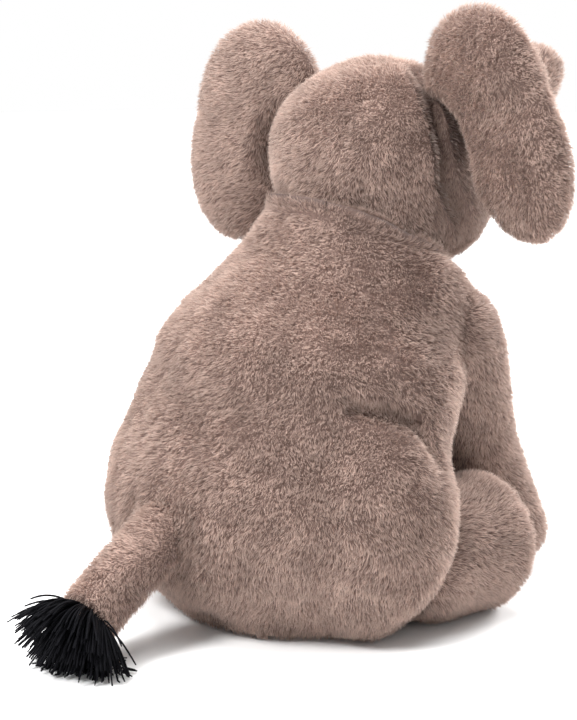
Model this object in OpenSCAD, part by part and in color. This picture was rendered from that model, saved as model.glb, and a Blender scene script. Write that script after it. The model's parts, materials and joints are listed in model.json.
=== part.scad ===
// A seated stuffed elephant. Millimetres, +Z up. The origin is on the floor, under the middle of the
// seat. The elephant faces -Y, and its left side is +X.

/* [Torso] */
// Half width of the seat
seat_half_width = 86; // [84:1:90]
// Half depth of the seat, back to belly
seat_half_depth = 80; // [78:1:84]
// Half height of the seat
seat_half_height = 60; // [58:1:62]
// Height of the seat's middle above the floor
seat_level = 52; // [48:1:54]
// Half width of the back and chest
chest_half_width = 80; // [77:1:82]
// Half depth of the back and chest
chest_half_depth = 76; // [73:1:78]
// Height of the chest's middle above the floor
chest_level = 93; // [90:1:96]
// Half width of the shoulders
shoulder_half_width = 58; // [56:1:60]
// Radius of each thigh bulge
thigh_radius = 42; // [40:1:43]

/* [Head] */
// Radius of the skull
skull_radius = 48; // [46:1:49]
// Height of the skull's middle above the floor
skull_level = 195; // [193:1:197]
// Half width of the muzzle
muzzle_half_width = 36; // [34:1:37]
// Radius of the round underside that sits in the neck
neck_ball_radius = 44; // [43:1:45]
// How far the neck leans forward, in degrees
neck_lean = 30; // [28:1:32]
// How far the head tips to its left, in degrees
head_roll = 7; // [0:1:8]
// Radius of the bead of each eye
eye_radius = 5; // [4:0.5:6]

/* [Ears] */
// Half thickness of an ear at its fullest
ear_half_thickness = 12; // [9:1:13]
// How far each ear sweeps back, in degrees
ear_sweep = 6; // [0:1:12]

/* [Trunk] */
// Length of the trunk's root, from the face to the bend
trunk_root_length = 42; // [40:1:46]
// Length of the trunk's tip, from the bend
trunk_tip_length = 60; // [50:1:62]
// Radius of the trunk at the face
trunk_root_radius = 21; // [19:1:22]
// Radius of the trunk at the bend
trunk_bend_radius = 16; // [15:0.5:16.5]

/* [Limbs] */
// Radius of a shoulder
shoulder_radius = 23; // [21:1:24]
// Radius of an arm above its foot
arm_radius = 18; // [16:1:19]
// Radius of a front foot
front_foot_radius = 21; // [19:1:21]
// Radius of a hind leg
leg_radius = 30; // [28:1:31]
// Radius of a hind foot
hind_foot_radius = 31; // [29:1:31]
// Length of a hind leg from the knee crease to the sole
leg_length = 43; // [40:1:47]

/* [Tail] */
// Length of the tail
tail_length = 56; // [50:1:60]
// Radius of the tail at its root
tail_radius = 13.5; // [12:0.5:15]
// Reach of the tassel's yarn from the end of the tail
yarn_reach = 29; // [26:1:32]

/* [Cloth] */
// Thickness of the cloth backing with the foot of its pile
cloth = 2.5; // [2:0.25:3]
// Thickness of a felt sole
sole_thickness = 2; // [1.5:0.25:2.5]

/* [Hidden] */
SIDES = ["left", "right"];

PLUSH = "#a48d84";
FELT = "#a8948a";
FIBRE = "#f2efe8";
YARN = "#17171a";
BEAD = "#141210";

$fn = 64;
fit_gap = 0.3; // cloth to what it holds
swing_gap = 4.5; // torso or head to what moves in a hollow of it
FAR = 1000;

// Torso: a seat, a chest and shoulders that lean forward, and a thigh bulge on each side
seat_middle = [0, 8, seat_level];
chest_middle = [0, -10, chest_level];
shoulder_middle = [0, -34, 136];
shoulder_half_depth = 54;
shoulder_half_height = 49;
nape_middle = [0, -28, 150];
nape_half_width = 48;
nape_half_depth = 42;
nape_half_height = 50;
chest_half_height = 66;
thigh_middle = [60, 12, 49];
torso_middle = [0, -10, 76];
torso_blend = 0.11; // sharpness of the folds between the bulges, per mm
torso_rings = 26;
torso_sides = 44;
pellet_level = 24; // top of the pellet bag

// Head: a skull and a muzzle, on a ball that sits in the neck
neck_up = [0, -sin(neck_lean), cos(neck_lean)];
neck_ring = [0, -36, 165];
neck_ring_depth = 20; // from the ball's middle down to the ring of thread
neck_pivot = neck_ring + neck_ring_depth * neck_up;
neck_room = 3; // from the ball to the torso
thread_radius = 0.8;
skull_middle = [0, -51, skull_level];
muzzle_middle = [0, -76, 182];
muzzle_half_depth = 32;
muzzle_half_height = 30;
head_blend = 0.2;
head_rings = 22;
head_sides = 36;
nod_down = 7;
eye_way = [0.58, -0.78, 0.3];
eye_patch = 0.12; // share of the face's radius that an eye spans
eye_seat = 0.6; // share of the bead's radius from the face out to its middle
eye_shank_radius = 1.5;
eye_shank_length = 8;
washer_radius = 5.5;
washer_thickness = 1.2;
washer_setback = 2.2; // from the inside of the face to the washer, which lies flat behind it

// Trunk: forward and a little up from the face, then curled up
trunk_pivot = [0, -94, 181];
trunk_rise = 15;
trunk_curl = 52;
trunk_root_way = [0, -cos(trunk_rise), sin(trunk_rise)];
trunk_bend = trunk_pivot + trunk_root_length * trunk_root_way;
trunk_tip_way = [0, -cos(trunk_curl), sin(trunk_curl)];
trunk_tip_radius = 13.5;
socket_setback = 12; // from the bend back to the end of the trunk's root

// Ears: pillows that hinge along a line down the side of the head
ear_hinge_top = [40, -52, 241];
ear_hinge_foot = [63, -52, 176];
ear_middle = [27, -4]; // out from the hinge, along it
ear_top_lobe = [[24, 12], [39, 36]];
ear_low_lobe = [[31, -25], [29, 36]];
ear_root_edge = 4;
ear_root_fullness = 0.42;
ear_root_reach = 25;
ear_blend = 0.2;
ear_rings = 5;
ear_sides = 26;
seam_gap = 0.15; // each panel to the seam between them
wadding_gap = 0.9; // an ear's panels to the wadding between them

// Arms and legs
arm_pivot = [37, -56, 120];
front_foot = [30, -103, 19];
leg_pivot = [62, -20, 32];
leg_lift = 20;
arm_lift = 50;
foot_edge = 9; // rounding between a foot and its sole

// Tail and tassel
tail_pivot = [0, 80, 50];
tail_drop = 26;
tail_turn = 3; // the tail rests a little to the elephant's right
tail_way = [-cos(tail_drop) * sin(tail_turn), cos(tail_drop) * cos(tail_turn), -sin(tail_drop)];
tail_end = tail_pivot + tail_length * tail_way;
tail_end_radius = 11;
binding_width = 5;
binding_thickness = 1.6;
floor_gap = 0.4;
tassel_height = 30;
tassel_shift = 2; // from the end of the tail to the middle of the burst

stitch_count = 7;
stitch_pitch = 8;
stitch_length = 6;
stitch_radius = 0.5;
stitch_start = 70; // height of the lowest stitch

// ---- lengths along a ray from a middle, in a direction ----

function unit(v) = v / norm(v);

// Roots of the ray from p along d meeting the ellipsoid of half sizes h about m; [] on a miss
function ray_roots(p, d, m, h) =
    let (
        q = [for (i = [0:2]) (p[i] - m[i]) / h[i]],
        e = [for (i = [0:2]) d[i] / h[i]],
        a = e * e, b = q * e, c = q * q - 1,
        s = b * b - a * c
    )
    s <= 0 ? [] : [(-b - sqrt(s)) / a, (-b + sqrt(s)) / a];

function leaving(p, d, m, h) = let (r = ray_roots(p, d, m, h)) len(r) == 0 ? 0 : max(r[1], 0);

function entering(p, d, m, r) =
    let (t = ray_roots(p, d, m, [r, r, r])) len(t) == 0 || t[0] <= 0 ? FAR : t[0];

// The largest of a list, with its folds rounded
function soft_max(list, k) =
    let (top = max(list)) top + ln([for (v = list) exp(k * (v - top))] * [for (v = list) 1]) / k;

function on_side(side, p) = [side == "left" ? p[0] : -p[0], p[1], p[2]];

// A point turned about the line along +X through a pivot
function lifted(p, pivot, angle) =
    let (y = p[1] - pivot[1], z = p[2] - pivot[2])
    [p[0], pivot[1] + y * cos(angle) - z * sin(angle), pivot[2] + y * sin(angle) + z * cos(angle)];

// Balls that hold a limb and the space around it, at rest and while it lifts
function limb_balls(pivot, foot, root_radius, foot_radius, lift) = [
    for (side = SIDES, angle = [0, lift / 2, lift], k = [0:6])
        let (t = k / 6, at = lifted(pivot + t * (foot - pivot), pivot, -angle))
        [on_side(side, at), root_radius + t * (foot_radius - root_radius) + swing_gap]
];

hind_foot = leg_pivot - [0, leg_length - foot_edge, 0];
torso_hollows = concat(
    [[neck_pivot, neck_ball_radius + neck_room],
     [muzzle_middle, muzzle_half_width + swing_gap],
     [lifted(muzzle_middle, neck_pivot, nod_down), muzzle_half_width + swing_gap]],
    limb_balls(arm_pivot, front_foot, shoulder_radius, front_foot_radius, arm_lift),
    limb_balls(leg_pivot, hind_foot, leg_radius, hind_foot_radius, leg_lift),
    [for (k = [0:3]) [tail_pivot + k * 8 * tail_way, tail_radius + swing_gap]]
);

function torso_reach(d) =
    let (
        body = soft_max([
            leaving(torso_middle, d, seat_middle, [seat_half_width, seat_half_depth, seat_half_height]),
            leaving(torso_middle, d, chest_middle, [chest_half_width, chest_half_depth, chest_half_height]),
            leaving(torso_middle, d, shoulder_middle,
                    [shoulder_half_width, shoulder_half_depth, shoulder_half_height]),
            leaving(torso_middle, d, nape_middle, [nape_half_width, nape_half_depth, nape_half_height]),
            for (side = SIDES)
                leaving(torso_middle, d, on_side(side, thigh_middle), thigh_radius * [1, 1, 1])
        ], torso_blend),
        floor_reach = d[2] < 0 ? -torso_middle[2] / d[2] : FAR,
        hollows = [for (ball = torso_hollows) entering(torso_middle, d, ball[0], ball[1])]
    )
    min(body, floor_reach, min(hollows));

function head_reach(d) =
    let (
        face = soft_max([
            leaving(skull_middle, d, skull_middle, skull_radius * [1, 1, 1]),
            leaving(skull_middle, d, muzzle_middle,
                    [muzzle_half_width, muzzle_half_depth, muzzle_half_height])
        ], head_blend),
        ball = leaving(skull_middle, d, neck_pivot, neck_ball_radius * [1, 1, 1]),
        trunk = entering(skull_middle, d, trunk_pivot, trunk_root_radius + swing_gap)
    )
    min(max(face, ball), trunk);

// ---- solids made of rings of points ----

// A closed solid: a point, rings of points one after another, and a last point
module ringed(first, rings, last) {
    count = len(rings[0]);
    points = concat([first], [for (ring = rings) each ring], [last]);
    end = len(points) - 1;
    at = function (ring, k) 1 + ring * count + k % count;
    faces = concat(
        [for (k = [0:count - 1]) [0, at(0, k + 1), at(0, k)]],
        [for (ring = [0:len(rings) - 2], k = [0:count - 1]) each [
            [at(ring, k), at(ring, k + 1), at(ring + 1, k + 1)],
            [at(ring, k), at(ring + 1, k + 1), at(ring + 1, k)]
        ]],
        [for (k = [0:count - 1]) [end, at(len(rings) - 1, k), at(len(rings) - 1, k + 1)]]
    );
    polyhedron(points, faces);
}

// A solid seen whole from its middle: reach gives its size in each direction, less an inset
module starred(middle, pole, rings, sides, reach, inset) {
    east = unit(cross([1, 0, 0], pole));
    north = cross(pole, east);
    out = function (d) middle + (reach(d) - inset) * d;
    ringed(
        out(pole),
        [for (i = [1:rings - 1]) let (a = 180 * i / rings)
            [for (j = [0:sides - 1]) let (b = 360 * j / sides)
                out(cos(a) * pole + sin(a) * (cos(b) * east + sin(b) * north))]],
        out(-pole)
    );
}

module torso_solid(inset) {
    starred(torso_middle, unit(neck_pivot - torso_middle), torso_rings, torso_sides,
            function (d) torso_reach(d), inset);
}

module head_solid(inset) {
    starred(skull_middle, neck_up, head_rings, head_sides, function (d) head_reach(d), inset);
}

// Tips what belongs to the head to its left, about the middle of the ball in the neck
module rolled() { translate(neck_pivot) rotate([0, head_roll, 0]) translate(-neck_pivot) children(); }

module above(level) { translate([-FAR / 2, -FAR / 2, level]) cube(FAR); }

// Lays +Z along a direction, from a point
module along(from, way) {
    translate(from)
        rotate([0, acos(way[2]), atan2(way[1], way[0])])
            children();
}

// ---- limbs: round covers that turn on a ball at their root ----

// Outline of a limb, [radius, distance past the pivot], from the back of its ball to its flat end
function limb_outline(ball, neck, foot, length, edge, inset) = concat(
    [for (a = [0:15:90]) [(ball - inset) * sin(a), -(ball - inset) * cos(a)]],
    [for (t = [0.2:0.2:1])
        let (waist = ball + (neck - ball) * (1 - cos(180 * min(t / 0.6, 1))) / 2,
             swell = (foot - neck) * (1 - cos(180 * max(t - 0.5, 0) / 0.5)) / 2)
        [waist + swell - inset, t * (length - edge)]],
    [for (a = [18:18:90])
        [foot - edge + (edge - inset) * cos(a), length - edge + (edge - inset) * sin(a)]]
);

module limb_solid(outline) {
    tip = outline[len(outline) - 1];
    rotate_extrude() polygon(concat(outline, [[0, tip[1]]]));
}

// The closed cover of a limb: the space between two outlines
module limb_shell(outer, inner) {
    inside = [for (i = [len(inner) - 1:-1:0]) inner[i]];
    rotate_extrude()
        polygon(concat(outer, [[0, outer[len(outer) - 1][1]], [0, inside[0][1]]], inside));
}

function arm_outline(inset) = limb_outline(shoulder_radius, arm_radius, front_foot_radius,
                                           norm(front_foot - arm_pivot) + foot_edge + 3, foot_edge,
                                           inset);
function leg_outline(inset) = limb_outline(leg_radius, leg_radius, hind_foot_radius, leg_length,
                                           foot_edge, inset);

module at_arm(side) {
    foot = on_side(side, front_foot);
    pivot = on_side(side, arm_pivot);
    along(pivot, unit(foot - pivot)) children();
}

module at_leg(side) { along(on_side(side, leg_pivot), [0, -1, 0]) children(); }

module limb_cover(outer, inner) { color(PLUSH) limb_shell(outer, inner); }

module limb_filling(inner) { color(FIBRE) limb_solid(inner); }

module limb_sole(outer, radius) {
    color(FELT) translate([0, 0, outer[len(outer) - 1][1]]) cylinder(h = sole_thickness, r = radius);
}

module arm_cover(side) { at_arm(side) limb_cover(arm_outline(0), arm_outline(cloth)); }
module arm_filling(side) { at_arm(side) limb_filling(arm_outline(cloth + fit_gap)); }
module arm_sole(side) { at_arm(side) limb_sole(arm_outline(0), front_foot_radius - foot_edge); }
module leg_cover(side) { at_leg(side) limb_cover(leg_outline(0), leg_outline(cloth)); }
module leg_filling(side) { at_leg(side) limb_filling(leg_outline(cloth + fit_gap)); }
module leg_sole(side) { at_leg(side) limb_sole(leg_outline(0), hind_foot_radius - foot_edge); }

// ---- torso ----

module torso_cover() {
    color(PLUSH) difference() {
        torso_solid(0);
        torso_solid(cloth);
    }
}

module torso_filling() {
    color(FIBRE) intersection() {
        torso_solid(cloth + fit_gap);
        above(pellet_level + fit_gap);
    }
}

module seat_pellet_bag() {
    color("#d8d2c4") difference() {
        torso_solid(cloth + fit_gap);
        above(pellet_level);
    }
}

// Ladder stitches up the middle of the back
module back_closing_stitch() {
    color(PLUSH) for (k = [0:stitch_count - 1]) {
        way = unit([0, seat_half_depth, stitch_start + k * stitch_pitch - torso_middle[2]]);
        spot = torso_middle + (torso_reach(way) + stitch_radius + fit_gap) * way;
        translate(spot) rotate([0, 90, 0])
            cylinder(h = stitch_length, r = stitch_radius, center = true);
    }
}

module neck_thread() {
    ball = neck_ball_radius + neck_room / 2;
    color(PLUSH) along(neck_ring, neck_up) rotate_extrude()
        translate([sqrt(ball * ball - neck_ring_depth * neck_ring_depth), 0]) circle(thread_radius, $fn = 24);
}

// ---- head ----

function eye_direction(side) = unit(on_side(side, eye_way));
function head_point(d) = skull_middle + head_reach(unit(d)) * unit(d);

// The way the face faces where an eye sits, from the points around it
function eye_facing(side) =
    let (
        d = eye_direction(side),
        across = eye_patch * unit(cross(d, [0, 0, 1])),
        up = cross(across, d),
        n = cross(head_point(d + across) - head_point(d - across), head_point(d + up) - head_point(d - up))
    )
    unit(sign(n * d) * n);

module at_eye(side) { along(head_point(eye_direction(side)), eye_facing(side)) children(); }

module eye(side) {
    color(BEAD) at_eye(side) union() {
        translate([0, 0, eye_radius * eye_seat]) sphere(eye_radius);
        translate([0, 0, -eye_shank_length]) cylinder(h = eye_shank_length, r = eye_shank_radius);
    }
}

module eye_washer(side) {
    color("#e8e6e0") at_eye(side) translate([0, 0, -cloth - washer_setback - washer_thickness]) difference() {
        cylinder(h = washer_thickness, r = washer_radius);
        translate([0, 0, -1]) cylinder(h = washer_thickness + 2, r = eye_shank_radius + 0.1);
    }
}

module head_cover() {
    color(PLUSH) difference() {
        head_solid(0);
        head_solid(cloth);
        for (side = SIDES) at_eye(side) {
            cylinder(h = eye_shank_length * 2, r = eye_shank_radius + fit_gap, center = true);
            translate([0, 0, eye_radius * eye_seat]) sphere(eye_radius + fit_gap);
        }
    }
}

module head_filling() {
    color(FIBRE) difference() {
        head_solid(cloth + fit_gap);
        for (side = SIDES) at_eye(side)
            translate([0, 0, -eye_shank_length - fit_gap])
                cylinder(h = 2 * eye_shank_length, r = washer_radius + fit_gap);
    }
}

// ---- trunk ----

function trunk_root_outline(inset) = concat(
    [for (a = [0:15:90]) [(trunk_root_radius - inset) * sin(a), -(trunk_root_radius - inset) * cos(a)]],
    [for (t = [0.25:0.25:1])
        [trunk_root_radius + t * (trunk_bend_radius - trunk_root_radius) - inset,
         t * (trunk_root_length - socket_setback - inset)]],
    // the hollow that the tip's ball turns in
    [for (a = [45:-9:0])
        [socket_radius(inset) * sin(a), trunk_root_length - socket_radius(inset) * cos(a)]]
);
function socket_radius(inset) = trunk_bend_radius + 0.2 + inset;

function trunk_tip_outline(inset) = limb_outline(trunk_bend_radius - 0.5, trunk_bend_radius - 1,
                                                 trunk_tip_radius, trunk_tip_length,
                                                 trunk_tip_radius - 2, inset);

module at_trunk_root() { along(trunk_pivot, trunk_root_way) children(); }
module at_trunk_tip() { along(trunk_bend, trunk_tip_way) children(); }

module trunk_root_cover() {
    at_trunk_root() limb_cover(trunk_root_outline(0), trunk_root_outline(cloth));
}
module trunk_root_filling() { at_trunk_root() limb_filling(trunk_root_outline(cloth + fit_gap)); }
module trunk_tip_cover() { at_trunk_tip() limb_cover(trunk_tip_outline(0), trunk_tip_outline(cloth)); }
module trunk_tip_filling() { at_trunk_tip() limb_filling(trunk_tip_outline(cloth + fit_gap)); }

// ---- ears ----

ear_up = unit(ear_hinge_top - ear_hinge_foot);
ear_hinge_middle = (ear_hinge_top + ear_hinge_foot) / 2;
ear_swept = [cos(ear_sweep), sin(ear_sweep), 0];
ear_out = unit(ear_swept - (ear_swept * ear_up) * ear_up);
ear_back = cross(ear_up, ear_out);

// How far the ear reaches from its middle at an angle, before the inset
function ear_reach(angle) =
    let (
        d = [cos(angle), sin(angle), 0],
        p = [ear_middle[0], ear_middle[1], 0],
        lobe = function (l) leaving(p, d, [l[0][0], l[0][1], 0], [l[1][0], l[1][1], 1]),
        round_reach = soft_max([lobe(ear_top_lobe), lobe(ear_low_lobe)], ear_blend),
        hinge_reach = d[0] < 0 ? (ear_middle[0] + ear_root_edge) / -d[0] : FAR
    )
    min(round_reach, hinge_reach);

// A point of the ear's surface: a share of the way out at an angle, on the back (1) or front (-1)
function ear_point(share, angle, face, inset) =
    let (
        r = share * (ear_reach(angle) - inset),
        a = ear_middle[0] + r * cos(angle),
        b = ear_middle[1] + r * sin(angle),
        near_root = min(max(a / ear_root_reach, 0), 1),
        fullness = ear_root_fullness + (1 - ear_root_fullness) * (1 - cos(180 * near_root)) / 2,
        rise = (ear_half_thickness * fullness - inset) * sqrt(1 - pow(share, 2.5))
    )
    ear_hinge_middle + a * ear_out + b * ear_up + face * max(rise, seam_gap) * ear_back;

function ear_ring(share, face, inset) =
    [for (j = [0:ear_sides - 1]) ear_point(share, face * 360 * j / ear_sides, face, inset)];

// One panel: its outer surface out to the seam, and its inner surface back
module ear_panel(face) {
    color(PLUSH) ringed(
        ear_point(0, 0, face, 0),
        concat([for (i = [1:ear_rings]) ear_ring(i / ear_rings, face, 0)],
               [for (i = [ear_rings:-1:1]) ear_ring(i / ear_rings, face, cloth)]),
        ear_point(0, 0, face, cloth)
    );
}

module ear_wadding() {
    inset = cloth + wadding_gap;
    back = [for (i = [1:ear_rings - 1]) ear_ring(i / ear_rings, 1, inset)];
    front = [for (i = [ear_rings - 1:-1:1])
        [for (j = [0:ear_sides - 1]) ear_point(i / ear_rings, 360 * j / ear_sides, -1, inset)]];
    rim = [for (j = [0:ear_sides - 1])
        (ear_point(1, 360 * j / ear_sides, 1, inset) + ear_point(1, 360 * j / ear_sides, -1, inset)) / 2];
    color(FIBRE) ringed(ear_point(0, 0, 1, inset), concat(back, [rim], front),
                        ear_point(0, 0, -1, inset));
}

module on_head_side(side) {
    if (side == "left") children();
    else mirror([1, 0, 0]) children();
}

// ---- tail ----

function tail_outline(inset) = concat(
    [for (a = [0:15:90]) [(tail_radius - inset) * sin(a), -(tail_radius - inset) * cos(a)]],
    [for (t = [0.25:0.25:1])
        [tail_radius + t * (tail_end_radius - tail_radius) - inset, t * (tail_length - inset)]]
);

module at_tail() { along(tail_pivot, tail_way) children(); }

module tail_cover() { at_tail() limb_cover(tail_outline(0), tail_outline(cloth)); }
module tail_filling() { at_tail() limb_filling(tail_outline(cloth + fit_gap)); }

module tail_binding() {
    color(YARN) at_tail() translate([0, 0, tail_length + fit_gap]) difference() {
        cylinder(h = binding_width, r = tail_end_radius - 1);
        translate([0, 0, -1])
            cylinder(h = binding_width + 2, r = tail_end_radius - 1 - binding_thickness);
    }
}

// Half outline of the burst of yarn, [radius, height], from the floor up
function tassel_outline() = let (foot = floor_gap, top = floor_gap + tassel_height) [
    [0, foot], [0.84 * yarn_reach, foot], [0.95 * yarn_reach, foot + 0.2 * tassel_height],
    [yarn_reach, foot + 0.45 * tassel_height], [0.93 * yarn_reach, foot + 0.7 * tassel_height],
    [0.72 * yarn_reach, foot + 0.9 * tassel_height], [0.4 * yarn_reach, top], [0, top]
];

// The yarn ends burst from the end of the tail, droop, and lie on the floor underneath
module tail_tassel() {
    behind = 3 * yarn_reach;
    middle = tail_end + tassel_shift * tail_way;
    color(YARN) difference() {
        translate([middle[0], middle[1], 0]) rotate_extrude() polygon(tassel_outline());
        at_tail() translate([-behind / 2, -behind / 2, tail_length + fit_gap - behind]) cube(behind);
        at_tail() translate([0, 0, tail_length - 1])
            cylinder(h = binding_width + 2, r = tail_end_radius - 1 + fit_gap);
    }
}

torso_cover();
torso_filling();
seat_pellet_bag();
back_closing_stitch();
neck_thread();
rolled() head_cover();
rolled() head_filling();
rolled() eye("left");  // eye_left
rolled() eye("right");  // eye_right
rolled() eye_washer("left");  // eye_washer_left
rolled() eye_washer("right");  // eye_washer_right
rolled() trunk_root_cover();
rolled() trunk_root_filling();
rolled() trunk_tip_cover();
rolled() trunk_tip_filling();
rolled() on_head_side("left") ear_panel(1);  // ear_left_back_panel
rolled() on_head_side("left") ear_panel(-1);  // ear_left_front_panel
rolled() on_head_side("left") ear_wadding();  // ear_left_wadding
rolled() on_head_side("right") ear_panel(1);  // ear_right_back_panel
rolled() on_head_side("right") ear_panel(-1);  // ear_right_front_panel
rolled() on_head_side("right") ear_wadding();  // ear_right_wadding
arm_cover("left");  // arm_left_cover
arm_filling("left");  // arm_left_filling
arm_sole("left");  // arm_left_sole
arm_cover("right");  // arm_right_cover
arm_filling("right");  // arm_right_filling
arm_sole("right");  // arm_right_sole
leg_cover("left");  // leg_left_cover
leg_filling("left");  // leg_left_filling
leg_sole("left");  // leg_left_sole
leg_cover("right");  // leg_right_cover
leg_filling("right");  // leg_right_filling
leg_sole("right");  // leg_right_sole
tail_cover();
tail_filling();
tail_binding();
tail_tassel();
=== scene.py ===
"""A seated stuffed elephant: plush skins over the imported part's bodies, their pile as short blades of
fibre, felt soles, bead eyes, and a tail that ends in a burst of black yarn.

Lengths are in millimetres in the formulas below and in metres in the meshes. The elephant sits on
z = 0 and faces -Y; its left side is +X."""
import json
import math

import bpy
import numpy as np
from mathutils import Matrix, Vector


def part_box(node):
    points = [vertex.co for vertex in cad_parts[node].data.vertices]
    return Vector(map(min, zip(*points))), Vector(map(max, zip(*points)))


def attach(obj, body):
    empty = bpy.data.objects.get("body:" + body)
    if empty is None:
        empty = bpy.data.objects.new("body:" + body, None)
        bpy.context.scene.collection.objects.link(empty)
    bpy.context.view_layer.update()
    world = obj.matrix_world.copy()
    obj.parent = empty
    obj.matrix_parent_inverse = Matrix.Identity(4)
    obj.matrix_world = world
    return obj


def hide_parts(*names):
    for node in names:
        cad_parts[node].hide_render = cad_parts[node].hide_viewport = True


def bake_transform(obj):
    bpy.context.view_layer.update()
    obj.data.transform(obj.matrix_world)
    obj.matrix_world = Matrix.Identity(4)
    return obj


MM = 0.001
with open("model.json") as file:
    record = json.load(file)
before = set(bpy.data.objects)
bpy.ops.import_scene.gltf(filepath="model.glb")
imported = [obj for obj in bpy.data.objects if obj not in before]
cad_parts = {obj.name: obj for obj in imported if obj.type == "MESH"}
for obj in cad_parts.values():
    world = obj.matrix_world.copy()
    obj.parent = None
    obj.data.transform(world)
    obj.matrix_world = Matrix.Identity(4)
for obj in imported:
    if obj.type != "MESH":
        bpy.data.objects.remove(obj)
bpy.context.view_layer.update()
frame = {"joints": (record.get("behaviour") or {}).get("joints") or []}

JOINTS = {j["name"]: j for j in frame["joints"]}


def pivot_of(joint):
    return np.array(JOINTS[joint]["pos_m"], float) / MM


def axis_of(joint):
    v = np.array(JOINTS[joint]["axis"], float)
    return v / np.linalg.norm(v)


def box_of(node):
    low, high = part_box(node)
    return np.array(low) / MM, np.array(high) / MM


def unit(v):
    v = np.asarray(v, float)
    return v / np.maximum(np.linalg.norm(v, axis=-1, keepdims=True), 1e-9)


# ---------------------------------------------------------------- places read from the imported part

NECK_RING_DEPTH = 20.0  # from the middle of the neck's ball down to its ring of thread
NECK_UP = axis_of("head_turn")
NECK_PIVOT = pivot_of("head_turn")
NECK_RING = NECK_PIVOT - NECK_RING_DEPTH * NECK_UP
NOD_AXIS = axis_of("head_nod")
ROLL = math.atan2(-NOD_AXIS[2], NOD_AXIS[0])
ROLL_TURN = np.array([[math.cos(ROLL), 0, math.sin(ROLL)],
                      [0, 1, 0],
                      [-math.sin(ROLL), 0, math.cos(ROLL)]])


def rolled(p):
    """Tips points of the upright head to the elephant's left, about the middle of the neck's ball."""
    return NECK_PIVOT + (p - NECK_PIVOT) @ ROLL_TURN.T


def upright(p):
    """The reverse of rolled."""
    return NECK_PIVOT + (p - NECK_PIVOT) @ ROLL_TURN


TRUNK_PIVOT = upright(pivot_of("trunk_lift"))
TRUNK_BEND = upright(pivot_of("trunk_curl"))
ARM_PIVOT = pivot_of("arm_left_swing")
LEG_PIVOT = pivot_of("leg_left_lift")
TAIL_PIVOT = pivot_of("tail_swing")


def middle_of(node):
    low, high = box_of(node)
    return (low + high) / 2


BINDING_IN_TAIL = 3.0  # how far the tail's cloth stops short of the middle of the binding
ARM_SOLE = middle_of("arm_left_sole")
LEG_SOLE = middle_of("leg_left_sole")
TAIL_END = middle_of("tail_binding")
ARM_WAY = unit(ARM_SOLE - ARM_PIVOT)
LEG_WAY = unit(LEG_SOLE - LEG_PIVOT)
TAIL_WAY = unit(TAIL_END - TAIL_PIVOT)
TAIL_LENGTH = np.linalg.norm(TAIL_END - TAIL_PIVOT) - BINDING_IN_TAIL


# ---------------------------------------------------------------- meshes from arrays

def make_mesh(name, points, faces, smooth=True):
    """A mesh object from an array of points in mm and an array of faces with the same corner count."""
    mesh = bpy.data.meshes.new(name)
    count, corners = faces.shape
    mesh.vertices.add(len(points))
    mesh.vertices.foreach_set("co", (np.asarray(points, np.float32) * MM).ravel())
    mesh.loops.add(count * corners)
    mesh.loops.foreach_set("vertex_index", faces.astype(np.int32).ravel())
    mesh.polygons.add(count)
    mesh.polygons.foreach_set("loop_start", np.arange(0, count * corners, corners, dtype=np.int32))
    mesh.polygons.foreach_set("use_smooth", np.full(count, smooth))
    mesh.update(calc_edges=True)
    obj = bpy.data.objects.new(name, mesh)
    bpy.context.scene.collection.objects.link(obj)
    return obj


def set_float(obj, name, values):
    attribute = obj.data.attributes.new(name, "FLOAT", "POINT")
    attribute.data.foreach_set("value", np.asarray(values, np.float32))


def closed_grid(rings):
    """Triangles of a closed surface given as rings of points, (rings, sides, 3), where the first and
    the last ring are each a single repeated point. Returns points and outward triangles."""
    count, sides = rings.shape[:2]
    points = np.concatenate([rings[0, :1], rings[1:-1].reshape(-1, 3), rings[-1, :1]])
    k = np.arange(sides)
    after = (k + 1) % sides
    last = len(points) - 1
    top = np.stack([np.zeros(sides, int), 1 + after, 1 + k], 1)
    rows = 1 + sides * np.arange(count - 3)[:, None]
    a, b = rows + k, rows + after
    c, d = a + sides, b + sides
    middle = np.concatenate([np.stack([a, b, d], -1).reshape(-1, 3),
                             np.stack([a, d, c], -1).reshape(-1, 3)])
    foot = 1 + sides * (count - 3)
    bottom = np.stack([np.full(sides, last), foot + k, foot + after], 1)
    return points, np.concatenate([top, middle, bottom])


def vertex_normals(points, triangles):
    """The unit sum of the normals of the triangles at each point, each weighted by its area."""
    a, b, c = (points[triangles[:, i]] for i in range(3))
    n = np.cross(b - a, c - a)
    total = np.zeros_like(points)
    for axis in range(3):
        for i in range(3):
            total[:, axis] += np.bincount(triangles[:, i], n[:, axis], len(points))
    return unit(total)


def outward(points, triangles):
    """Turns the triangles round if the closed surface is inside out."""
    a, b, c = (points[triangles[:, i]] for i in range(3))
    volume = np.einsum("ij,ij->i", a, np.cross(b, c)).sum()
    return triangles if volume > 0 else triangles[:, ::-1]


# ---------------------------------------------------------------- smooth noise and creases

def waves(p, scale, seed, count=7):
    """Smooth noise, about -1 to 1: a sum of sine waves of one wavelength in random directions."""
    r = np.random.default_rng(seed)
    ways = unit(r.normal(size=(count, 3))) * (2 * math.pi / scale) * r.uniform(0.7, 1.4, (count, 1))
    return np.sin(p @ ways.T + r.uniform(0, 2 * math.pi, count)).sum(-1) / math.sqrt(count)


def distance_to_path(p, path):
    """Distance of each point from a path of straight pieces, and the share of the path's length there."""
    path = np.asarray(path, float)
    best = np.full(len(p), 1e9)
    where = np.zeros(len(p))
    steps = len(path) - 1
    for i in range(steps):
        a, d = path[i], path[i + 1] - path[i]
        t = np.clip(((p - a) @ d) / max(d @ d, 1e-9), 0, 1)
        gap = np.linalg.norm(p - a - t[:, None] * d, axis=1)
        near = gap < best
        best[near] = gap[near]
        where[near] = (i + t[near]) / steps
    return best, where


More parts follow.
